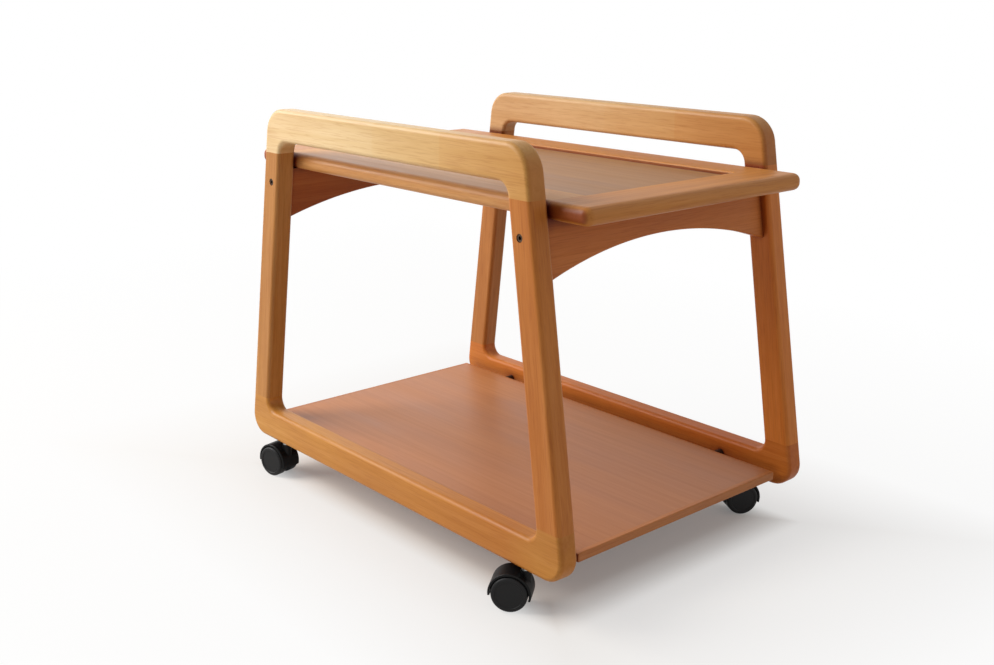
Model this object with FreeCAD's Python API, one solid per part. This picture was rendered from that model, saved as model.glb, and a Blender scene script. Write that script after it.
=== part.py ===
"""Tea trolley: two closed wooden side frames carry a tray top and a low shelf, on four swivel casters.

X runs along the trolley with its front end at +X, Y runs across it with its left side at +Y, Z is up.
The origin lies on the floor under the middle of the trolley. All sizes are millimetres.
"""
import FreeCAD
import Part
import math
import os

V = FreeCAD.Vector

# Side frames: heights on a frame are measured from its underside, and both frames lean in at the head
overall_width = 510.0
head_lean = 9.5
frame_stock = 31.0
frame_height = 552.0
foot_length = 769.0
head_length = 592.0
leg_foot_width = 45.5
leg_head_width = 40.5
rail_height = 48.0
handle_height = 50.0
rail_end_rise = 21.0
handle_end_drop = 18.0
head_corner_radius = 42.0
foot_corner_radius = 32.0
handle_inner_radius = 20.0
rail_inner_radius = 18.0
frame_edge_radius = 6.5
frame_dowel_diameter = 10.0
frame_dowel_length = 50.0
frame_dowel_pitch = 18.0

# Tray top: a solid border round a lower veneered panel
finger_gap = 21.0
top_end_overhang = 66.0
top_side_gap = 1.5
top_thickness = 24.0
top_corner_radius = 12.0
top_edge_radius = 10.5
end_band_width = 70.0
side_band_width = 67.0
recess_depth = 5.5
recess_edge_radius = 2.5
spline_thickness = 4.0
spline_depth = 8.0
spline_end_stop = 20.0

# Arched aprons between the legs, under the top
apron_thickness = 20.0
apron_setback = 14.0
apron_end_height = 79.0
apron_arch_rise = 36.0
apron_edge_radius = 2.5
apron_bolt_drop = 19.5
apron_dowel_drop = 57.0
apron_dowel_diameter = 8.0
apron_dowel_length = 34.0
bolt_diameter = 6.0
bolt_length = 52.0
bolt_head_diameter = 10.0
bolt_head_height = 5.0
bolt_socket_diameter = 5.5
bolt_socket_depth = 3.0
bolt_sink = 5.8
bolt_sink_clearance = 0.5
barrel_nut_diameter = 10.0
barrel_nut_length = 15.0
barrel_nut_setback = 16.0
screw_diameter = 4.0
screw_head_diameter = 8.0
screw_head_height = 2.6
screw_bite = 12.0
screw_wood_under_top = 26.0
screw_spacing = 220.0

# Lower shelf, hung between the bottom rails on pins
shelf_top_height = 29.0
shelf_end_inset = 17.0
shelf_thickness = 13.0
shelf_side_gap = 16.0
shelf_end_lipping = 8.0
shelf_side_lipping = 6.0
shelf_edge_radius = 2.0
shelf_pin_spacing = 498.0
shelf_pin_diameter = 8.0
shelf_pin_rail_depth = 15.0
shelf_pin_shelf_depth = 22.0
shelf_spacer_diameter = 10.5

# Twin-wheel hooded casters; the two angles are how far the hood comes down past the axle
caster_height = 62.0
caster_inset = 86.0
caster_trail = 20.0
wheel_diameter = 50.0
wheel_width = 14.0
wheel_gap = 13.0
wheel_rim = 4.0
wheel_disc = 4.0
wheel_hub_diameter = 14.0
wheel_shoulder_radius = 3.5
wheel_face_rim = 5.5
wheel_face_step = 0.8
hood_diameter = 59.0
hood_wall = 3.0
hood_width = 36.0
hood_edge_radius = 1.6
hood_trail_angle = 6.0
hood_stem_angle = 16.0
web_thickness = 12.0
neck_diameter = 15.0
axle_diameter = 6.0
axle_cover = 3.4
axle_end_play = 0.3
stem_diameter = 8.0
stem_grip_length = 34.0
stem_collar_diameter = 13.0
stem_collar_thickness = 4.5
stem_boss_rise = 2.7
stem_head_diameter = 11.0
stem_head_thickness = 2.5
stem_head_room = 1.5
socket_diameter = 11.0
socket_length = 38.0
socket_flange_diameter = 17.0
socket_flange_thickness = 1.5

# Swivel angle of each caster at rest, from +X to the way its wheels trail, in degrees
front_right_swivel = 218.0
rear_right_swivel = 192.0
front_left_swivel = 240.0
rear_left_swivel = 360.0 - front_right_swivel

# Clearances, on a radius or between two faces
glue_clearance = 0.1
bolt_clearance = 0.3
running_clearance = 0.05
swivel_clearance = 0.3
cut_overrun = 1.0


def leg_outer(height):
    """Half the outer length of a side frame at a height."""
    return foot_length / 2 - (foot_length - head_length) / 2 * height / frame_height


def leg_inner(height):
    """Half the clear length between the legs of a side frame at a height."""
    return leg_outer(height) - leg_foot_width - (leg_head_width - leg_foot_width) * height / frame_height


def leg_middle(height):
    """Distance of a leg's middle line from the middle of the trolley at a height."""
    return (leg_outer(height) + leg_inner(height)) / 2


def lean_shift(height):
    """How far a side frame has leaned in at a height."""
    return head_lean * height / frame_height


def clear_half_width(height):
    """Half the clear width between the side frames at a height."""
    return overall_width / 2 - frame_stock - lean_shift(height)


def apron_middle(height):
    """Distance of an apron's middle plane from the middle of the trolley at a height."""
    return leg_outer(height) - apron_setback - apron_thickness / 2


# Places that follow from the sizes above
half_width = overall_width / 2
inner_half_width = clear_half_width(0)
frame_middle = half_width - frame_stock / 2
handle_underside = frame_height - handle_height
handle_joint = handle_underside - handle_end_drop
rail_joint = rail_height + rail_end_rise
top_surface = handle_underside - finger_gap
top_underside = top_surface - top_thickness
top_half_length = leg_outer(top_surface) + top_end_overhang
top_half_width = clear_half_width(top_surface) - top_side_gap
recess_half_length = top_half_length - end_band_width
recess_half_width = top_half_width - side_band_width
panel_surface = top_surface - recess_depth
bolt_level = top_underside - apron_bolt_drop
apron_dowel_level = top_underside - apron_dowel_drop
apron_foot = top_underside - apron_end_height
shelf_half_width = clear_half_width(shelf_top_height) - shelf_side_gap
shelf_half_length = leg_outer(shelf_top_height) - shelf_end_inset
shelf_underside = shelf_top_height - shelf_thickness
shelf_pin_level = shelf_top_height - shelf_thickness / 2
wheel_radius = wheel_diameter / 2
hood_inner_radius = hood_diameter / 2 - hood_wall
wheel_inner_face = wheel_gap / 2
wheel_outer_face = wheel_inner_face + wheel_width
neck_top = caster_height - socket_flange_thickness - stem_collar_thickness - swivel_clearance
boss_bottom = wheel_radius + stem_boss_rise
arc_middle_share = 1 - math.cos(math.pi / 4)
sides = {"right": -1, "left": 1}
ends = {"front": 1, "rear": -1}
nodes = {}


def frame_point(x, y, height):
    """A point given by its height above the underside of the side frames."""
    return V(x, y, caster_height + height)


def block(low, high):
    """A box between two corners, given in any order."""
    corner = V(min(low.x, high.x), min(low.y, high.y), min(low.z, high.z))
    return Part.makeBox(abs(high.x - low.x), abs(high.y - low.y), abs(high.z - low.z), corner)


def rod(diameter, start, finish):
    """A round bar between two points."""
    return Part.makeCylinder(diameter / 2, (finish - start).Length, start, finish - start)


def outline(corners, radii):
    """A closed wire through the corners, each rounded by its radius."""
    edges = []
    tangents = []
    count = len(corners)
    for index, corner in enumerate(corners):
        back = (corners[index - 1] - corner).normalize()
        ahead = (corners[(index + 1) % count] - corner).normalize()
        half_angle = back.getAngle(ahead) / 2
        reach = radii[index] / math.tan(half_angle)
        bisector = (back + ahead).normalize()
        centre = corner + bisector * (radii[index] / math.sin(half_angle))
        start = corner + back * reach
        finish = corner + ahead * reach
        middle = centre - bisector * radii[index]
        edges.append(Part.Arc(start, middle, finish).toShape())
        tangents.append((start, finish))
    for index in range(count):
        leave = tangents[index][1]
        arrive = tangents[(index + 1) % count][0]
        edges.append(Part.LineSegment(leave, arrive).toShape())
    return Part.Wire(Part.__sortEdges__(edges))


def edges_at(shape, test):
    """The edges of a shape whose bounding box passes a test."""
    return [edge for edge in shape.Edges if test(edge.BoundBox)]


def near(value, target):
    """Whether two lengths are the same within the modelling tolerance."""
    return abs(value - target) < glue_clearance / 10


def lean(shape, side):
    """Leans a shape that was made for an upright side frame in towards the middle of the trolley."""
    angle = math.degrees(math.atan2(head_lean, frame_height))
    shape.rotate(frame_point(0, side * frame_middle, 0), V(1, 0, 0), side * angle)
    return shape


def trim_between_frames(shape):
    """Cuts off whatever lies beyond the leaning inner faces of the side frames."""
    for side in sides.values():
        low = frame_point(-foot_length, side * inner_half_width, -frame_height)
        high = frame_point(foot_length, side * 2 * overall_width, 2 * frame_height)
        shape = shape.cut(lean(block(low, high), side))
    return shape


def frame_ring(side):
    """One whole side frame: a tapered ring with every long edge rounded over."""
    y = side * half_width
    inward = V(0, -side * frame_stock, 0)
    low, high = 0, frame_height
    outer = [(-leg_outer(low), low), (leg_outer(low), low), (leg_outer(high), high), (-leg_outer(high), high)]
    low, high = rail_height, handle_underside
    inner = [(-leg_inner(low), low), (leg_inner(low), low), (leg_inner(high), high), (-leg_inner(high), high)]
    outer_radii = [foot_corner_radius, foot_corner_radius, head_corner_radius, head_corner_radius]
    inner_radii = [rail_inner_radius, rail_inner_radius, handle_inner_radius, handle_inner_radius]
    rim = outline([frame_point(x, y, height) for x, height in outer], outer_radii)
    hole = outline([frame_point(x, y, height) for x, height in inner], inner_radii)
    ring = Part.Face(rim).extrude(inward).cut(Part.Face(hole).extrude(inward))
    ring = ring.makeFillet(frame_edge_radius, edges_at(ring, lambda box: near(box.YLength, 0)))
    return lean(ring, side)


def frame_dowel_axes(side):
    """The middle of each dowel in the four glued joints of a side frame."""
    places = []
    for end in ends.values():
        for level in (rail_joint, handle_joint):
            for step in (-1, 1):
                x = end * leg_middle(level) + step * frame_dowel_pitch / 2
                places.append(frame_point(x, side * (frame_middle - lean_shift(level)), level))
    return places


def shelf_pin_places(side):
    """The points on a bottom rail's inner face where the shelf pins enter it."""
    y = side * clear_half_width(shelf_pin_level)
    return [frame_point(end * shelf_pin_spacing / 2, y, shelf_pin_level) for end in ends.values()]


def caster_place(side, end):
    """The point on the floor under a caster's stem."""
    return V(end * (foot_length / 2 - caster_inset), side * frame_middle, 0)


def side_frame(side_name, side):
    """The handle, two legs and bottom rail of one side frame, with their bores."""
    ring = frame_ring(side)
    reach = foot_length
    for middle in frame_dowel_axes(side):
        half = V(0, 0, frame_dowel_length / 2 + glue_clearance)
        ring = ring.cut(rod(frame_dowel_diameter + 2 * glue_clearance, middle - half, middle + half))
    for end in ends.values():
        head_rest = bolt_seat(side, end)
        outside = head_rest + V(0, side * (bolt_sink + cut_overrun), 0)
        inside = head_rest - V(0, side * frame_stock, 0)
        ring = ring.cut(rod(bolt_head_diameter + 2 * bolt_sink_clearance, outside, head_rest))
        ring = ring.cut(rod(bolt_diameter + 2 * bolt_clearance, head_rest, inside))
        ring = ring.cut(apron_dowel(side, end, glue_clearance))
        stem_foot = caster_place(side, end)
        seat = stem_foot + V(0, 0, caster_height)
        socket_end = seat + V(0, 0, socket_length + glue_clearance)
        ring = ring.cut(rod(socket_diameter + 2 * glue_clearance, stem_foot, socket_end))
        ring = ring.cut(rod(socket_flange_diameter + 2 * glue_clearance, stem_foot, seat))
    for mouth in shelf_pin_places(side):
        depth = V(0, side * (shelf_pin_rail_depth + glue_clearance), 0)
        ring = ring.cut(rod(shelf_pin_diameter + 2 * glue_clearance, mouth - depth, mouth + depth))

    def part_of_ring(x_low, x_high, low, high):
        low_corner = frame_point(x_low, -overall_width, low)
        return ring.common(block(low_corner, frame_point(x_high, overall_width, high)))

    nodes[side_name + "_handle"] = part_of_ring(-reach, reach, handle_joint, frame_height + frame_stock)
    nodes[side_name + "_bottom_rail"] = part_of_ring(-reach, reach, -frame_stock, rail_joint)
    for end_name, end in ends.items():
        leg = part_of_ring(0, end * reach, rail_joint, handle_joint)
        nodes[side_name + "_" + end_name + "_leg"] = leg


def frame_dowels():
    """All the dowels in the glued joints of both side frames."""
    half = V(0, 0, frame_dowel_length / 2)
    middles = [middle for side in sides.values() for middle in frame_dowel_axes(side)]
    dowels = [rod(frame_dowel_diameter, middle - half, middle + half) for middle in middles]
    nodes["frame_dowels"] = Part.makeCompound(dowels)


def apron_axis(end, height):
    """A point on an apron's middle plane, which leans with the legs, at the middle of the trolley."""
    return frame_point(end * apron_middle(height), 0, height)


def apron_rise(end):
    """The direction up an apron's middle plane, along its lean."""
    return (apron_axis(end, top_underside) - apron_axis(end, bolt_level)).normalize()


def apron_dowel(side, end, growth):
    """The dowel that locates an apron on a leg, grown on every side by a clearance."""
    y = side * clear_half_width(apron_dowel_level)
    middle = frame_point(end * apron_middle(apron_dowel_level), y, apron_dowel_level)
    half = V(0, side * (apron_dowel_length / 2 + growth), 0)
    return rod(apron_dowel_diameter + 2 * growth, middle - half, middle + half)


def apron_slab(end):
    """The leaning board that an apron is cut from."""
    half = V(apron_thickness / 2, 0, 0)
    across = V(0, inner_half_width, 0)
    foot = apron_axis(end, apron_foot) - across
    head = apron_axis(end, top_underside) - across
    section = Part.makePolygon([foot - half, foot + half, head + half, head - half, foot - half])
    return trim_between_frames(Part.Face(section).extrude(across * 2))


def apron_arch(end):
    """The space under an apron's arch, as a slab bounded by an arc above."""
    left = frame_point(0, clear_half_width(apron_foot), apron_foot)
    right = frame_point(0, -clear_half_width(apron_foot), apron_foot)
    crown = frame_point(0, 0, apron_foot + apron_arch_rise)
    arc = Part.Arc(left, crown, right).toShape()
    chord = Part.LineSegment(right, left).toShape()
    return Part.Face(Part.Wire([arc, chord])).extrude(V(end * foot_length, 0, 0))


def screw_places(end):
    """Head and tip of each screw that holds the top down on an apron."""
    head = apron_axis(end, top_underside - screw_wood_under_top)
    rise = apron_rise(end)
    tip = apron_axis(end, top_underside) + rise * screw_bite
    steps = [V(0, side * screw_spacing / 2, 0) for side in sides.values()]
    return [(head + step, tip + step, rise) for step in steps]


def barrel_nut_ends(side, end):
    """The lower and upper end of a barrel nut, square to the bolt that pulls it."""
    y = side * (clear_half_width(bolt_level) - barrel_nut_setback)
    middle = frame_point(end * apron_middle(bolt_level), y, bolt_level)
    half = apron_rise(end) * (barrel_nut_length / 2)
    return middle - half, middle + half


def bolt_seat(side, end):
    """The point in a leg that a bolt's head rests on."""
    y = side * (half_width - lean_shift(bolt_level) - bolt_sink)
    return frame_point(end * apron_middle(bolt_level), y, bolt_level)


def apron(end_name, end):
    """One arched apron with its bolt, nut, dowel and screw holes."""
    board = apron_slab(end).cut(apron_arch(end))
    arch_edges = edges_at(board, lambda box: near(box.ZLength, apron_arch_rise))
    board = board.makeFillet(apron_edge_radius, arch_edges)
    rise = apron_rise(end)
    for side in sides.values():
        seat = bolt_seat(side, end)
        bolt_room = V(0, -side * (bolt_length + cut_overrun), 0)
        board = board.cut(rod(bolt_diameter + 2 * bolt_clearance, seat, seat + bolt_room))
        low, high = barrel_nut_ends(side, end)
        way_out = rise * apron_end_height
        nut_hole = rod(barrel_nut_diameter + 2 * glue_clearance, low - rise * glue_clearance, high + way_out)
        board = board.cut(nut_hole)
        board = board.cut(apron_dowel(side, end, glue_clearance))
    for head, tip, rise in screw_places(end):
        board = board.cut(rod(screw_diameter + 2 * glue_clearance, head, tip))
        board = board.cut(rod(screw_head_diameter + 2 * bolt_clearance, head - rise * apron_end_height, head))
    nodes[end_name + "_apron"] = board


def apron_fittings():
    """Bolts with sunk heads, barrel nuts and dowels that join the aprons to the legs."""
    bolts = []
    nuts = []
    dowels = []
    for side in sides.values():
        for end in ends.values():
            seat = bolt_seat(side, end)
            inward = V(0, -side, 0)
            head_face = seat - inward * bolt_head_height
            bolt = rod(bolt_diameter, seat, seat + inward * bolt_length)
            bolt = bolt.fuse(rod(bolt_head_diameter, head_face, seat))
            key = Part.makePolygon([
                head_face + V(math.cos(turn), 0, math.sin(turn)) * (bolt_socket_diameter / 2)
                for turn in [math.radians(60 * step) for step in range(7)]
            ])
            bolts.append(bolt.cut(Part.Face(key).extrude(inward * bolt_socket_depth)))
            low, high = barrel_nut_ends(side, end)
            nut = rod(barrel_nut_diameter, low, high)
            nuts.append(nut.cut(rod(bolt_diameter + 2 * glue_clearance, seat, seat + inward * bolt_length)))
            dowels.append(apron_dowel(side, end, 0))
    nodes["apron_bolts"] = Part.makeCompound(bolts)
    nodes["apron_barrel_nuts"] = Part.makeCompound(nuts)
    nodes["apron_dowels"] = Part.makeCompound(dowels)


def top_screws():
    """The countersunk screws up through the aprons into the panel."""
    screws = []
    for end in ends.values():
        for head, tip, rise in screw_places(end):
            shank = rod(screw_diameter, head - rise * screw_head_height, tip)
            screws.append(shank.fuse(rod(screw_head_diameter, head - rise * screw_head_height, head)))
    nodes["top_screws"] = Part.makeCompound(screws)


def spline_room(growth):
    """The four loose tongues between panel and border, grown on every side by a clearance."""
    level = (panel_surface + top_underside) / 2
    half_thick = spline_thickness / 2 + growth
    half_deep = spline_depth + growth
    tongues = []
    for step in (-1, 1):
        x = step * recess_half_length
        reach = recess_half_width - spline_end_stop + growth
        low = frame_point(x - half_deep, -reach, level - half_thick)
        tongues.append(block(low, frame_point(x + half_deep, reach, level + half_thick)))
        y = step * recess_half_width
        reach = recess_half_length - spline_end_stop + growth
        low = frame_point(-reach, y - half_deep, level - half_thick)
        tongues.append(block(low, frame_point(reach, y + half_deep, level + half_thick)))
    return Part.makeCompound(tongues)


def tray_top():
    """The top's two end bands, two side bands, panel and splines."""
    corners = [(-1, -1), (1, -1), (1, 1), (-1, 1)]
    plan = [frame_point(x * top_half_length, y * top_half_width, top_underside) for x, y in corners]
    blank = Part.Face(outline(plan, [top_corner_radius] * len(plan))).extrude(V(0, 0, top_thickness))
    blank = blank.makeFillet(top_edge_radius, edges_at(blank, lambda box: near(box.ZLength, 0)))
    low = frame_point(-recess_half_length, -recess_half_width, panel_surface)
    high = frame_point(recess_half_length, recess_half_width, top_surface + cut_overrun)
    blank = blank.cut(block(low, high))
    brim = caster_height + top_surface

    def is_recess_arris(box):
        level = near(box.ZMin, brim) and near(box.ZMax, brim)
        across = near(abs(box.XMin), recess_half_length) and near(box.YLength, 2 * recess_half_width)
        along = near(box.XLength, 2 * recess_half_length) and near(abs(box.YMin), recess_half_width)
        return level and (across or along)

    blank = blank.makeFillet(recess_edge_radius, edges_at(blank, is_recess_arris))
    grooved = blank.cut(spline_room(glue_clearance))
    for end in ends.values():
        for head, tip, rise in screw_places(end):
            grooved = grooved.cut(rod(screw_diameter + 2 * glue_clearance, head, tip + rise * glue_clearance))

    def part_of_top(low_x, high_x, low_y, high_y):
        low_corner = frame_point(low_x, low_y, top_underside)
        return grooved.common(block(low_corner, frame_point(high_x, high_y, top_surface)))

    x, y = recess_half_length, recess_half_width
    for name, end in ends.items():
        nodes["top_" + name + "_band"] = part_of_top(end * x, end * top_half_length, -half_width, half_width)
    for name, side in sides.items():
        nodes["top_" + name + "_band"] = part_of_top(-x, x, side * y, side * top_half_width)
    nodes["top_panel"] = part_of_top(-x, x, -y, y)
    nodes["top_splines"] = spline_room(0)


def shelf():
    """The lower shelf: a panel in solid lippings, with its pins and spacers."""
    core_half_length = shelf_half_length - shelf_end_lipping
    core_half_width = shelf_half_width - shelf_side_lipping
    low = frame_point(-shelf_half_length, -shelf_half_width, shelf_underside)
    board = block(low, frame_point(shelf_half_length, shelf_half_width, shelf_top_height))
    board = board.makeFillet(shelf_edge_radius, board.Edges)
    pins = []
    spacers = []
    for side in sides.values():
        inward = V(0, -side, 0)
        for mouth in shelf_pin_places(side):
            start = mouth - inward * shelf_pin_rail_depth
            edge = mouth + inward * shelf_side_gap
            finish = edge + inward * shelf_pin_shelf_depth
            pins.append(rod(shelf_pin_diameter, start, finish))
            bore = shelf_pin_diameter + 2 * glue_clearance
            board = board.cut(rod(bore, mouth, finish + inward * glue_clearance))
            sleeve = trim_between_frames(rod(shelf_spacer_diameter, start, edge))
            spacers.append(sleeve.cut(rod(bore, start, finish)))

    def part_of_shelf(low_x, high_x, low_y, high_y):
        low_corner = frame_point(low_x, low_y, shelf_underside)
        return board.common(block(low_corner, frame_point(high_x, high_y, shelf_top_height)))

    x, y = core_half_length, core_half_width
    for name, end in ends.items():
        strip = part_of_shelf(end * x, end * shelf_half_length, -half_width, half_width)
        nodes["shelf_" + name + "_lipping"] = strip
    for name, side in sides.items():
        nodes["shelf_" + name + "_lipping"] = part_of_shelf(-x, x, side * y, side * shelf_half_width)
    nodes["shelf_panel"] = part_of_shelf(-x, x, -y, y)
    nodes["shelf_pins"] = Part.makeCompound(pins)
    nodes["shelf_spacers"] = Part.makeCompound(spacers)


def axle_point(radius, along):
    """A point beside a caster's axle, in its own frame with the stem over the origin."""
    return V(caster_trail, along, wheel_radius + radius)


def caster_hood():
    """The fender over both wheels, turned about the axle."""
    outer = hood_diameter / 2
    half = hood_width / 2
    inset = hood_edge_radius * arc_middle_share
    edges = []
    for step in (-1, 1):
        inner_corner = axle_point(hood_inner_radius, step * half)
        shoulder = axle_point(outer - hood_edge_radius, step * half)
        brow = axle_point(outer, step * (half - hood_edge_radius))
        edges.append(Part.LineSegment(inner_corner, shoulder).toShape())
        edges.append(Part.Arc(shoulder, axle_point(outer - inset, step * (half - inset)), brow).toShape())
    crown = half - hood_edge_radius
    for radius, reach in ((outer, crown), (hood_inner_radius, half)):
        edges.append(Part.LineSegment(axle_point(radius, -reach), axle_point(radius, reach)).toShape())
    section = Part.Face(Part.Wire(Part.__sortEdges__(edges)))
    quarter_turn = 90.0
    to_stem_lip = quarter_turn + hood_stem_angle
    to_trail_lip = quarter_turn + hood_trail_angle
    section.rotate(axle_point(0, 0), V(0, 1, 0), -to_stem_lip)
    return section.revolve(axle_point(0, 0), V(0, 1, 0), to_stem_lip + to_trail_lip)


def caster_body():
    """The moulded caster body: hood, middle web, swivel boss and neck in one piece."""
    half_web = web_thickness / 2
    web = rod(hood_diameter - hood_wall, axle_point(0, -half_web), axle_point(0, half_web))
    below = block(V(-hood_diameter, -half_web, -hood_diameter), V(hood_diameter, half_web, wheel_radius))
    head_room = stem_head_diameter / 2 + stem_head_room
    under_stem = block(V(-hood_diameter, -half_web, 0), V(head_room, half_web, boss_bottom))
    web = web.cut(below).cut(under_stem)
    axle_boss = rod(wheel_hub_diameter, axle_point(0, -half_web), axle_point(0, half_web))
    boss = rod(web_thickness, V(0, 0, boss_bottom), V(0, 0, neck_top))
    neck = rod(neck_diameter, V(0, 0, wheel_radius), V(0, 0, neck_top))
    under_hood = rod(2 * hood_inner_radius, axle_point(0, -hood_width), axle_point(0, hood_width))
    neck = neck.cut(under_hood)
    body = caster_hood().fuse([web, axle_boss, boss, neck]).removeSplitter()
    swivel_bore = rod(stem_diameter + 2 * running_clearance, V(0, 0, 0), V(0, 0, caster_height))
    axle_ends = (axle_point(0, -hood_width), axle_point(0, hood_width))
    return body.cut(swivel_bore).cut(rod(axle_diameter + 2 * running_clearance, *axle_ends))


def caster_wheel(step):
    """One cup-shaped wheel: hub and rim behind a plain disc, turned about the axle."""
    bore = axle_diameter / 2 + running_clearance
    hub = wheel_hub_diameter / 2
    cup_floor = wheel_outer_face - wheel_disc
    bore_floor = wheel_outer_face - axle_cover
    rim_inside = wheel_radius - wheel_rim
    shoulder = wheel_radius - wheel_shoulder_radius
    inset = wheel_shoulder_radius * arc_middle_share
    face_edge = wheel_radius - wheel_face_rim
    face = wheel_outer_face - wheel_face_step
    before_arc = [
        (0, bore_floor), (bore, bore_floor), (bore, wheel_inner_face), (hub, wheel_inner_face),
        (hub, cup_floor), (rim_inside, cup_floor), (rim_inside, wheel_inner_face),
        (wheel_radius, wheel_inner_face), (wheel_radius, wheel_outer_face - wheel_shoulder_radius),
    ]
    after_arc = [
        (shoulder, wheel_outer_face), (face_edge, wheel_outer_face), (face_edge - wheel_face_step, face),
        (0, face), (0, bore_floor),
    ]
    start = [axle_point(radius, step * along) for radius, along in before_arc]
    finish = [axle_point(radius, step * along) for radius, along in after_arc]
    middle = axle_point(wheel_radius - inset, step * (wheel_outer_face - inset))
    edges = Part.makePolygon(start).Edges + [Part.Arc(start[-1], middle, finish[0]).toShape()]
    edges += Part.makePolygon(finish).Edges
    section = Part.Face(Part.Wire(Part.__sortEdges__(edges)))
    return section.revolve(axle_point(0, 0), V(0, 1, 0), 360)


def caster_socket():
    """The sleeve in the bottom rail that grips a caster's stem."""
    mouth = V(0, 0, caster_height)
    sleeve = rod(socket_diameter, mouth, mouth + V(0, 0, socket_length))
    flange = rod(socket_flange_diameter, mouth - V(0, 0, socket_flange_thickness), mouth)
    bore_end = mouth + V(0, 0, stem_grip_length + glue_clearance)
    bore = rod(stem_diameter + 2 * glue_clearance, V(0, 0, 0), bore_end)
    return sleeve.fuse(flange).cut(bore)


def caster_stem():
    """The steel stem: gripped above its collar, turned in the body below it, with a peened end."""
    collar_top = caster_height - socket_flange_thickness
    collar_bottom = collar_top - stem_collar_thickness
    head_top = boss_bottom - swivel_clearance
    stem = rod(stem_diameter, V(0, 0, head_top), V(0, 0, caster_height + stem_grip_length))
    collar = rod(stem_collar_diameter, V(0, 0, collar_bottom), V(0, 0, collar_top))
    head = rod(stem_head_diameter, V(0, 0, head_top - stem_head_thickness), V(0, 0, head_top))
    return stem.fuse([collar, head]).removeSplitter()


def caster(name, place, swivel):
    """One caster, made with its stem over the origin, then turned and carried to its place."""
    axle_reach = wheel_outer_face - axle_cover - axle_end_play
    pieces = {
        "socket": caster_socket(),
        "stem": caster_stem(),
        "caster_body": caster_body(),
        "axle": rod(axle_diameter, axle_point(0, -axle_reach), axle_point(0, axle_reach)),
        "outer_wheel": caster_wheel(-1),
        "inner_wheel": caster_wheel(1),
    }
    for piece_name, piece in pieces.items():
        piece.rotate(V(0, 0, 0), V(0, 0, 1), swivel)
        piece.translate(place)
        nodes[name + "_" + piece_name] = piece


swivels = {
    ("front", "right"): front_right_swivel,
    ("rear", "right"): rear_right_swivel,
    ("front", "left"): front_left_swivel,
    ("rear", "left"): rear_left_swivel,
}
for side_name, side in sides.items():
    side_frame(side_name, side)
frame_dowels()
for end_name, end in ends.items():
    apron(end_name, end)
apron_fittings()
top_screws()
tray_top()
shelf()
for (end_name, side_name), swivel in swivels.items():
    caster(end_name + "_" + side_name, caster_place(sides[side_name], ends[end_name]), swivel)

os.makedirs("parts", exist_ok=True)
for node_name, shape in nodes.items():
    shape.exportStep("parts/" + node_name + ".step")
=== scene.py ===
"""Looks of the tea trolley: varnished teak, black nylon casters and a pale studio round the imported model."""
import math

import bpy
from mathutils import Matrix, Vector


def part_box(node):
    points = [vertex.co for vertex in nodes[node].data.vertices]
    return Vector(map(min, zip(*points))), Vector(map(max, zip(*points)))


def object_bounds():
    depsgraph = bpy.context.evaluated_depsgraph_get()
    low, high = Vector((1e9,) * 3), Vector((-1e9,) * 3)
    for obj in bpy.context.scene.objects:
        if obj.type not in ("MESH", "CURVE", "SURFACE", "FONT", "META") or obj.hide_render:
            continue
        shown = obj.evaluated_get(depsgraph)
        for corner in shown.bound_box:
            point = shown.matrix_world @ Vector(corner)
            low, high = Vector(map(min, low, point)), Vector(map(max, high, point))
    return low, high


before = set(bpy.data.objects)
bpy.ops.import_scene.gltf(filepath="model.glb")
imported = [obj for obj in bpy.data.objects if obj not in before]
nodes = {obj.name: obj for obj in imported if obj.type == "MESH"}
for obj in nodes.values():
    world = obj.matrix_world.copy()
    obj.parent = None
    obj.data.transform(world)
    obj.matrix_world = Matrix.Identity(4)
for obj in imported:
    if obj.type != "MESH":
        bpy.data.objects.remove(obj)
cad_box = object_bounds()
MM = 0.001


# Colours and shader nodes

def colour(code):
    """An sRGB hex colour as linear values, with full alpha."""
    parts = [int(code[i:i + 2], 16) / 255 for i in (1, 3, 5)]
    linear = [p / 12.92 if p <= 0.04045 else ((p + 0.055) / 1.055) ** 2.4 for p in parts]
    return (*linear, 1.0)


WHITE = colour("#FFFFFF")


def add(tree, kind, inputs=None, stops=(), **settings):
    """Adds a shader node, sets its properties, and fills its inputs with values or links.

    stops are the (place, colour) pairs of a colour ramp.
    """
    node = tree.nodes.new(kind)
    for key, value in settings.items():
        setattr(node, key, value)
    for key, value in (inputs or {}).items():
        if isinstance(value, bpy.types.NodeSocket):
            tree.links.new(value, node.inputs[key])
        else:
            node.inputs[key].default_value = value
    if stops:
        elements = node.color_ramp.elements
        while len(elements) < len(stops):
            elements.new(0.5)
        for element, (place, shade) in zip(elements, stops):
            element.position = place
            element.color = shade
    return node


def new_material(name):
    """An empty material and its node tree."""
    material = bpy.data.materials.new(name)
    material.use_nodes = True
    material.node_tree.nodes.clear()
    return material, material.node_tree


def dress(node, material):
    """Gives a node's surface a material."""
    for slot in nodes[node].material_slots:
        slot.material = material


# Where most of a noise's values lie
NOISE_LOW = 0.3
NOISE_HIGH = 0.7


# Teak

ALONG = Vector((1, 0, 0))
ACROSS = Vector((0, 1, 0))

# The length and breadth of one streak of each pattern, and how finely it is broken up
FIGURE = {"run": 330 * MM, "width": 8 * MM, "detail": 3.0}
# Real pores are a few tenths of a millimetre wide, too fine to show here, so they are drawn coarser
PORES = {"run": 42 * MM, "width": 1.5 * MM, "detail": 2.0}
CLOUDS = {"run": 260 * MM, "width": 60 * MM, "detail": 1.0}
STREAK_ROUGHNESS = 0.55
STREAK_WAVER = 0.4

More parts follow.
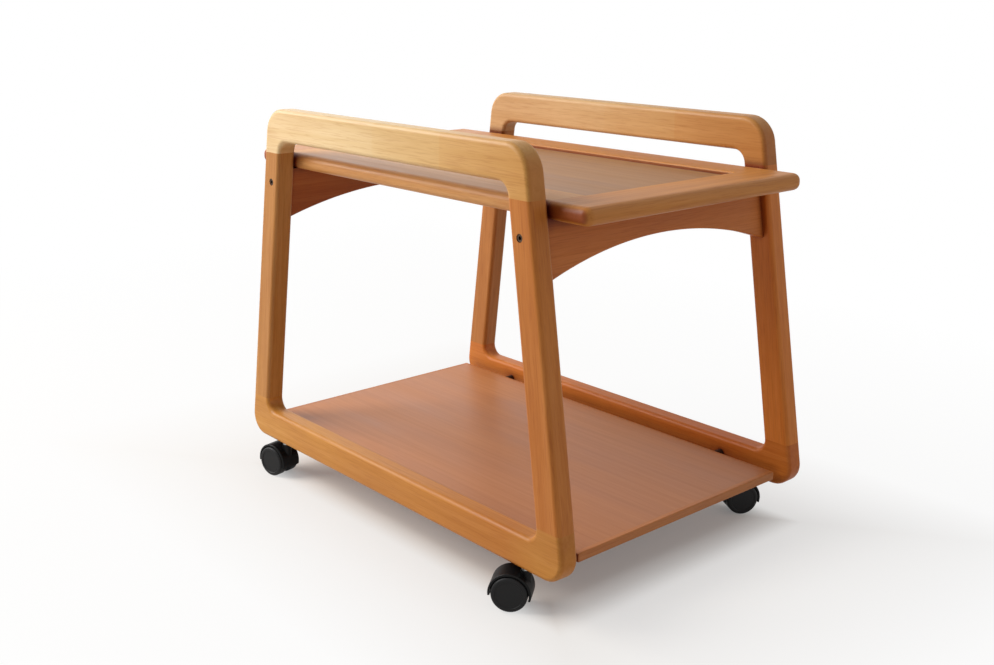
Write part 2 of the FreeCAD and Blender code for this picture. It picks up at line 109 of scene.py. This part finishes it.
FIGURE_PLACES = (0.30, 0.50, 0.70)
PORE_TONES = [(0.36, colour("#D0A986")), (0.50, WHITE)]
PORES_SHOW = 0.28
PORES_SHOW_ON_TOP = 0.14
PORES_SHOW_ON_SHELF = 0.09
PORES_SHOW_ON_ENDS = 0.06
PORE_DEPTH = 0.1 * MM
PORE_RELIEF = 0.12
CLOUD_TONES = [(0.32, colour("#E8DAC8")), (0.66, WHITE)]
CLOUDS_SHOW = 0.5

# End grain begins and is full at these shares of a face's turn towards the grain
END_BEGINS = 0.55
END_FULL = 0.95
END_TONE = colour("#EDD9C4")
RAIL_END_TONE = colour("#F0E2D2")
# The end bands' end grain is darker still: painted shadow of the legs over the end grain's own tone
BAND_END_GRAIN_AND_SHADOW_TONE = colour("#B78B6C")

# Painted shade in inner corners: an inner corner is at its darkest at the deep share of open sky,
# and like an open face at the open share
CORNER_REACH = 22 * MM
CORNER_DEEP = 0.45
CORNER_OPEN = 0.85
CORNER_RAYS = 12
PAINTED_CORNER_SHADE_TONE = colour("#8C4A2E")

# The IOR of fresh varnish is near 1.5. Both finishes shine less, the worn satin of the solid wood least.
SATIN_IOR = 1.34
VENEER_IOR = 1.45
VARNISH_ROUGHNESS = 0.46
VARNISH_UNEVENNESS = 0.04


def streaks(tree, place, turn, start, run, width, detail):
    """Noise drawn out along the grain: run and width are the length and breadth of one streak."""
    mapping = add(tree, "ShaderNodeMapping",
                  {"Vector": place, "Rotation": turn, "Scale": (run, width, width), "Location": start},
                  vector_type="TEXTURE")
    noise = add(tree, "ShaderNodeTexNoise",
                {"Vector": mapping.outputs["Vector"], "Scale": 1.0, "Detail": detail,
                 "Roughness": STREAK_ROUGHNESS, "Distortion": STREAK_WAVER})
    return noise.outputs["Fac"]


def end_grain(tree, normal, grain):
    """1 where a face cuts across the grain, 0 where the grain runs along it."""
    facing = add(tree, "ShaderNodeVectorMath", {0: normal, 1: grain}, operation="DOT_PRODUCT")
    size = add(tree, "ShaderNodeMath", {0: facing.outputs["Value"]}, operation="ABSOLUTE")
    share = add(tree, "ShaderNodeMapRange",
                {"Value": size.outputs["Value"], "From Min": END_BEGINS, "From Max": END_FULL},
                interpolation_type="SMOOTHSTEP")
    return share.outputs["Result"]


def painted_corner_shade(tree):
    """Where shade is painted: 1 deep in an inner corner, 0 on an open face."""
    sky = add(tree, "ShaderNodeAmbientOcclusion", {"Distance": CORNER_REACH}, samples=CORNER_RAYS)
    share = add(tree, "ShaderNodeMapRange",
                {"Value": sky.outputs["AO"], "From Min": CORNER_DEEP, "From Max": CORNER_OPEN,
                 "To Min": 1.0, "To Max": 0.0})
    return share.outputs["Result"]


def teak(name, grain, shades, start, lengths=None, ior=SATIN_IOR, pores_show=PORES_SHOW, end_tone=END_TONE):
    """Varnished teak: an even brown with faint straight figure, fine short pores and a soft sheen.

    shades are the dark, middle and light brown of the figure, and start is the piece's place in the grain.
    End grain has a tone of its own and shows few pores, and inner corners get a painted shade.
    lengths are the two ends of the piece along X and the tones that it takes on from one to the other.
    """
    material, tree = new_material(name)
    coordinates = add(tree, "ShaderNodeTexCoord")
    place = coordinates.outputs["Object"]
    turn = ALONG.rotation_difference(grain).to_euler()
    figure, pores, clouds = [streaks(tree, place, turn, start, **size) for size in (FIGURE, PORES, CLOUDS)]
    ends = end_grain(tree, coordinates.outputs["Normal"], grain)

    board = add(tree, "ShaderNodeValToRGB", {"Fac": figure},
                stops=list(zip(FIGURE_PLACES, [colour(code) for code in shades])))
    pore_tone = add(tree, "ShaderNodeValToRGB", {"Fac": pores}, stops=PORE_TONES)
    pore_share = add(tree, "ShaderNodeMapRange",
                     {"Value": ends, "To Min": pores_show, "To Max": PORES_SHOW_ON_ENDS})
    cloud_tone = add(tree, "ShaderNodeValToRGB", {"Fac": clouds}, stops=CLOUD_TONES)
    # The wood is darkened by its pores, clouds and end grain, and by painted shade in inner corners
    tones = [(pore_share.outputs["Result"], pore_tone.outputs["Color"]),
             (CLOUDS_SHOW, cloud_tone.outputs["Color"]),
             (ends, end_tone),
             (painted_corner_shade(tree), PAINTED_CORNER_SHADE_TONE)]
    if lengths:
        low, high, length_stops = lengths
        split = add(tree, "ShaderNodeSeparateXYZ", {"Vector": place})
        share = add(tree, "ShaderNodeMapRange",
                    {"Value": split.outputs["X"], "From Min": low, "From Max": high})
        length_tone = add(tree, "ShaderNodeValToRGB", {"Fac": share.outputs["Result"]}, stops=length_stops)
        tones.append((1.0, length_tone.outputs["Color"]))
    wood = board.outputs["Color"]
    for amount, tone in tones:
        darker = add(tree, "ShaderNodeMix", {"Factor": amount, "A": wood, "B": tone},
                     data_type="RGBA", blend_type="MULTIPLY")
        wood = darker.outputs["Result"]

    bump = add(tree, "ShaderNodeBump", {"Height": pores, "Strength": PORE_RELIEF, "Distance": PORE_DEPTH})
    roughness = add(tree, "ShaderNodeMapRange",
                    {"Value": clouds, "From Min": NOISE_LOW, "From Max": NOISE_HIGH,
                     "To Min": VARNISH_ROUGHNESS - VARNISH_UNEVENNESS,
                     "To Max": VARNISH_ROUGHNESS + VARNISH_UNEVENNESS})
    shader = add(tree, "ShaderNodeBsdfPrincipled",
                 {"Base Color": wood, "Roughness": roughness.outputs["Result"], "IOR": ior,
                  "Normal": bump.outputs["Normal"]})
    add(tree, "ShaderNodeOutputMaterial", {"Surface": shader.outputs["BSDF"]})
    return material


# Each piece is cut from its own board: the dark, middle and light shade of its figure. The differences
# between pieces of one kind are painted light and shade as well as the boards' own tone.
HANDLE_SHADES = {"right": ("#DEBF8D", "#E4C799", "#E8CDA2"), "left": ("#CFA471", "#D6AD7C", "#DBB485")}
RAIL_SHADES = {"right": ("#C28639", "#C88D42", "#CE954D"), "left": ("#C4722A", "#CB7930", "#D1813A")}
LEG_SHADES = {
    "right_front": ("#BC702B", "#C47933", "#CB823E"),
    "right_rear": ("#B2783A", "#B97F41", "#C0884C"),
    "left_front": ("#D0772A", "#D67F32", "#DC873E"),
    "left_rear": ("#B17135", "#B8783C", "#BE8147"),
}
APRON_SHADES = {"front": ("#C27030", "#CA7838", "#D08042"), "rear": ("#9E5420", "#A65B27", "#AD632F")}
BAND_SHADES = ("#C47F38", "#CC8740", "#D3904C")
SIDE_BAND_SHADES = {"right": ("#CE9254", "#D49A5C", "#D9A268"), "left": BAND_SHADES}
TOP_PANEL_SHADES = ("#9C6B3D", "#A37243", "#A9794A")
SHELF_SHADES = ("#B5723E", "#BA7744", "#BE7C4A")

# A piece's place in the grain, in metres. The second of a pair lies a metre further on, along X for the left
# side and along Y for the rear end.
HANDLE_START = Vector((0.13, 0.02, 0.01))
RAIL_START = Vector((0.41, 0.05, 0.03))
LEG_STARTS = {"front": Vector((0.2, -0.1297, 0.1)), "rear": Vector((0.2, 0.1297, 0.1))}
SIDE_BAND_START = Vector((0.25, 0.33, 0.05))
SIDE_LIPPING_START = Vector((0.7, 0.1, 0.02))
APRON_START = Vector((0.6, 0.3, 0.02))
END_BAND_START = Vector((0.9, 0.6, 0.05))
END_LIPPING_START = Vector((0.3, 0.1, 0.06))
TOP_PANEL_START = Vector((0.0, 0.0, 0.0))
SHELF_PANEL_START = Vector((0.5, 0.2, 0.3))

rail_low, rail_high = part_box("right_bottom_rail")
handle_low, handle_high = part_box("right_handle")
handle_run = (handle_low.x, handle_high.x)
rail_run = (rail_low.x, rail_high.x)
lean = math.atan2(rail_high.x - handle_high.x, handle_high.z - rail_low.z)
leg_grain = {"front": Vector((-math.sin(lean), 0, math.cos(lean))),
             "rear": Vector((math.sin(lean), 0, math.cos(lean)))}

# A handle is glued up from three lengths, with a small step in tone at each glue line, and is painted darker
# towards the front, a painted fall-off of the window's light. A rail is painted darker towards the front, away
# from the window, and lighter again up its turned-up end, and the shelf gets a little painted shade there too.
HANDLE_GLUE_LINES_AND_FALLOFF = (*handle_run, [(0.0, WHITE), (0.472, colour("#FFFDF4")),
                                (0.474, colour("#FFFBEE")), (0.715, colour("#FCEFD4")),
                                (0.717, colour("#FAE7C6")), (1.0, colour("#ECC88F"))])
RAIL_PAINTED_FALLOFF = (*rail_run, [(0.0, WHITE), (0.86, colour("#F8E0C6")), (0.94, colour("#FFF6E8"))])
SHELF_PAINTED_SHADE = (*rail_run, [(0.3, WHITE), (1.0, colour("#EEEBEA"))])

for index, side in enumerate(("right", "left")):
    step = index * ALONG
    dress(side + "_handle",
          teak(side + "_handle_teak", ALONG, HANDLE_SHADES[side], HANDLE_START + step, HANDLE_GLUE_LINES_AND_FALLOFF))
    dress(side + "_bottom_rail",
          teak(side + "_rail_teak", ALONG, RAIL_SHADES[side], RAIL_START + step, RAIL_PAINTED_FALLOFF,
               end_tone=RAIL_END_TONE))
    for end in ("front", "rear"):
        leg = side + "_" + end
        dress(leg + "_leg", teak(leg + "_leg_teak", leg_grain[end], LEG_SHADES[leg], LEG_STARTS[end] + step))
    dress("top_" + side + "_band",
          teak(side + "_band_teak", ALONG, SIDE_BAND_SHADES[side], SIDE_BAND_START + step))
    dress("shelf_" + side + "_lipping",
          teak("shelf_" + side + "_lipping_teak", ALONG, SHELF_SHADES, SIDE_LIPPING_START + step,
               SHELF_PAINTED_SHADE))
for index, end in enumerate(("front", "rear")):
    step = index * ACROSS
    dress(end + "_apron", teak(end + "_apron_teak", ACROSS, APRON_SHADES[end], APRON_START + step))
    # The end bands' end grain also carries painted shadow of the legs
    dress("top_" + end + "_band",
          teak(end + "_band_teak", ACROSS, BAND_SHADES, END_BAND_START + step, end_tone=BAND_END_GRAIN_AND_SHADOW_TONE))
    dress("shelf_" + end + "_lipping",
          teak("shelf_" + end + "_lipping_teak", ACROSS, SHELF_SHADES, END_LIPPING_START + step))
dress("top_panel",
      teak("top_panel_veneer", ALONG, TOP_PANEL_SHADES, TOP_PANEL_START, ior=VENEER_IOR,
           pores_show=PORES_SHOW_ON_TOP))
dress("shelf_panel",
      teak("shelf_panel_veneer", ALONG, SHELF_SHADES, SHELF_PANEL_START, SHELF_PAINTED_SHADE, ior=VENEER_IOR,
           pores_show=PORES_SHOW_ON_SHELF))


# Plastic, metal and unvarnished wood

GRAIN_TONES = [(0.35, colour("#DCDCDC")), (0.65, WHITE)]
GRAIN_DETAIL = 2.0
GRAIN_RELIEF = 0.3
GRAIN_UNEVENNESS = 0.05
BEECH_FLECK = 1.2 * MM
BEECH_DEPTH = 0.03 * MM
# The crystals of the plating and the grain of a mould are finer than this, and drawn coarser to show
METAL_GRAIN = 0.8 * MM
METAL_DEPTH = 0.01 * MM
MOULD_GRAIN = 0.6 * MM
MOULD_DEPTH = 0.02 * MM


def fine_grained(name, code, grain, depth, roughness, metallic=0.0, ior=1.5):
    """One colour with a fine even grain, a little lighter and darker, smoother and rougher in turn."""
    material, tree = new_material(name)
    place = add(tree, "ShaderNodeTexCoord").outputs["Object"]
    noise = add(tree, "ShaderNodeTexNoise", {"Vector": place, "Scale": 1 / grain, "Detail": GRAIN_DETAIL})
    height = noise.outputs["Fac"]
    tone = add(tree, "ShaderNodeValToRGB", {"Fac": height}, stops=GRAIN_TONES)
    shade = add(tree, "ShaderNodeMix", {"Factor": 1.0, "A": colour(code), "B": tone.outputs["Color"]},
                data_type="RGBA", blend_type="MULTIPLY")
    bump = add(tree, "ShaderNodeBump", {"Height": height, "Strength": GRAIN_RELIEF, "Distance": depth})
    uneven = add(tree, "ShaderNodeMapRange",
                 {"Value": height, "From Min": NOISE_LOW, "From Max": NOISE_HIGH,
                  "To Min": roughness - GRAIN_UNEVENNESS, "To Max": roughness + GRAIN_UNEVENNESS})
    surface = {"Base Color": shade.outputs["Result"], "Roughness": uneven.outputs["Result"],
               "Metallic": metallic, "Normal": bump.outputs["Normal"]}
    if not metallic:
        surface["IOR"] = ior
    shader = add(tree, "ShaderNodeBsdfPrincipled", surface)
    add(tree, "ShaderNodeOutputMaterial", {"Surface": shader.outputs["BSDF"]})
    return material


# Plain beech, planed: pale, dull and flecked
beech = fine_grained("plain_beech", "#D8B48A", BEECH_FLECK, BEECH_DEPTH, roughness=0.6)
for node in ("frame_dowels", "apron_dowels", "top_splines"):
    dress(node, beech)

# Blackened steel: dark brown with a dull shine
blackened = fine_grained("blackened_steel", "#5C4A3C", METAL_GRAIN, METAL_DEPTH, roughness=0.45,
                         metallic=1.0)
dress("apron_bolts", blackened)

# Zinc-plated steel: dull grey, faintly mottled
zinc = fine_grained("zinc_plated_steel", "#C4C4BF", METAL_GRAIN, METAL_DEPTH, roughness=0.36,
                    metallic=1.0)
for node in ("apron_barrel_nuts", "top_screws", "shelf_pins"):
    dress(node, zinc)

# Moulded nylon: black with the fine matt grain of its mould. The wheels are duller than the caster bodies,
# and the spacers are a dark brown. The IOR of nylon is near 1.53, but worn nylon shines less.
nylon = fine_grained("moulded_black_nylon", "#121213", MOULD_GRAIN, MOULD_DEPTH, roughness=0.42,
                     ior=1.25)
wheel_nylon = fine_grained("moulded_wheel_nylon", "#171718", MOULD_GRAIN, MOULD_DEPTH, roughness=0.5,
                           ior=1.32)
spacer_nylon = fine_grained("dark_brown_nylon", "#3A251A", MOULD_GRAIN, MOULD_DEPTH, roughness=0.5,
                            ior=1.3)
dress("shelf_spacers", spacer_nylon)
for end in ("front", "rear"):
    for side in ("right", "left"):
        caster = end + "_" + side + "_"
        for piece in ("socket", "stem", "axle"):
            dress(caster + piece, zinc)
        dress(caster + "caster_body", nylon)
        dress(caster + "outer_wheel", wheel_nylon)
        dress(caster + "inner_wheel", wheel_nylon)


# Studio, as the camera sees it: a pale floor that fades into a white backdrop, a large soft window on the
# left, a faint one further back, and a white room all round. Lengths are in metres and powers in watts.

FLOOR_SIZE = 14.0
FLOOR_ROUGHNESS = 0.8
# The ground that the trolley covers is its box less this margin. The floor takes on the backdrop's white by
# its distance from the middle, counted in shares of that ground.
FLOOR_MARGIN = Vector((20 * MM, 42 * MM, 0))
FLOOR_WHITE = [(0.86, 0.16), (0.97, 0.34), (1.07, 0.62), (1.45, 0.76), (2.1, 0.93), (6.0, 1.0)]
# The room's light: the way to its brightest wall, and its strength there and on the far side
BRIGHT_WAY = (0.65, 0.65, -0.4)
ROOM_BRIGHT = 0.74
ROOM_DIM = 0.04
WINDOW_DISTANCE = 2.9


def seen_ray(tree):
    """1 for what the eye or a reflection sees directly, 0 for light that falls on a surface."""
    path = add(tree, "ShaderNodeLightPath")
    seen = add(tree, "ShaderNodeMath", {0: path.outputs["Is Camera Ray"], 1: path.outputs["Is Glossy Ray"]},
               operation="MAXIMUM")
    seen = add(tree, "ShaderNodeMath", {0: seen.outputs["Value"], 1: path.outputs["Is Transmission Ray"]},
               operation="MAXIMUM")
    return seen.outputs["Value"]


def studio_floor():
    """A large pale floor whose far parts turn to the backdrop's white."""
    bpy.ops.mesh.primitive_plane_add(size=FLOOR_SIZE, location=(0, 0, 0))
    floor = bpy.context.object
    floor.name = "studio_floor"
    material, tree = new_material("pale_floor")
    place = add(tree, "ShaderNodeTexCoord").outputs["Object"]
    covered = cad_box[1] - FLOOR_MARGIN
    shares = add(tree, "ShaderNodeVectorMath", {0: place, 1: covered}, operation="DIVIDE")
    shares = add(tree, "ShaderNodeVectorMath", {0: shares.outputs["Vector"]}, operation="ABSOLUTE")
    split = add(tree, "ShaderNodeSeparateXYZ", {"Vector": shares.outputs["Vector"]})
    share = add(tree, "ShaderNodeMath", {0: split.outputs["X"], 1: split.outputs["Y"]}, operation="MAXIMUM")
    farthest = FLOOR_WHITE[-1][0]
    reach = add(tree, "ShaderNodeMath", {0: share.outputs["Value"], 1: farthest}, operation="DIVIDE")
    fade = add(tree, "ShaderNodeValToRGB", {"Fac": reach.outputs["Value"]},
               stops=[(far / farthest, (white, white, white, 1.0)) for far, white in FLOOR_WHITE])
    white_share = add(tree, "ShaderNodeMath", {0: fade.outputs["Color"], 1: seen_ray(tree)},
                      operation="MULTIPLY")
    screed = add(tree, "ShaderNodeBsdfPrincipled",
                 {"Base Color": colour("#D8CEC2"), "Roughness": FLOOR_ROUGHNESS})
    backdrop = add(tree, "ShaderNodeEmission", {"Color": WHITE, "Strength": 1.0})
    mixed = add(tree, "ShaderNodeMixShader",
                {"Fac": white_share.outputs["Value"], 1: screed.outputs["BSDF"],
                 2: backdrop.outputs["Emission"]})
    add(tree, "ShaderNodeOutputMaterial", {"Surface": mixed.outputs["Shader"]})
    floor.data.materials.append(material)


def studio_world():
    """White to the eye and in reflections.

    As light, it is a room that is bright low on the right and dim on the left.
    """
    world = bpy.data.worlds.new("studio")
    bpy.context.scene.world = world
    world.use_nodes = True
    tree = world.node_tree
    tree.nodes.clear()
    way = add(tree, "ShaderNodeTexCoord").outputs["Generated"]
    facing = add(tree, "ShaderNodeVectorMath", {0: way, 1: BRIGHT_WAY}, operation="DOT_PRODUCT")
    room = add(tree, "ShaderNodeMapRange",
               {"Value": facing.outputs["Value"], "From Min": -1.0, "From Max": 1.0,
                "To Min": ROOM_DIM, "To Max": ROOM_BRIGHT})
    strength = add(tree, "ShaderNodeMix", {"Factor": seen_ray(tree), "A": room.outputs["Result"], "B": 1.0})
    sky = add(tree, "ShaderNodeBackground", {"Color": WHITE, "Strength": strength.outputs["Result"]})
    add(tree, "ShaderNodeOutputWorld", {"Surface": sky.outputs["Background"]})


def soft_window(name, direction, side, power):
    """A square soft light that shines on the trolley's middle from a direction."""
    middle = (cad_box[0] + cad_box[1]) / 2
    data = bpy.data.lights.new(name, "AREA")
    data.size = side
    data.energy = power
    window = bpy.data.objects.new(name, data)
    window.location = middle + Vector(direction).normalized() * WINDOW_DISTANCE
    window.rotation_euler = (middle - window.location).to_track_quat("-Z", "Y").to_euler()
    bpy.context.scene.collection.objects.link(window)


def photo_camera():
    """A camera where the photographer stood, as fitted to the photo."""
    frame_width_px = 994
    focal_px = 1192.8
    pitch_down = math.radians(16.11)
    heading = math.radians(48.93)
    stand_point = (1.3478, -1.2051, 0.7922)
    data = bpy.data.cameras.new("photo_camera")
    data.lens = data.sensor_width * focal_px / frame_width_px
    camera = bpy.data.objects.new("photo_camera", data)
    camera.location = stand_point
    camera.rotation_euler = (math.radians(90) - pitch_down, 0, heading)
    bpy.context.scene.collection.objects.link(camera)
    bpy.context.scene.camera = camera


studio_floor()
studio_world()
soft_window("front_window", direction=(-0.64, -0.58, 0.56), side=1.8, power=100)
soft_window("back_window", direction=(-0.85, 0.45, 0.36), side=1.4, power=5)
photo_camera()
bpy.context.scene.view_settings.view_transform = "Standard"
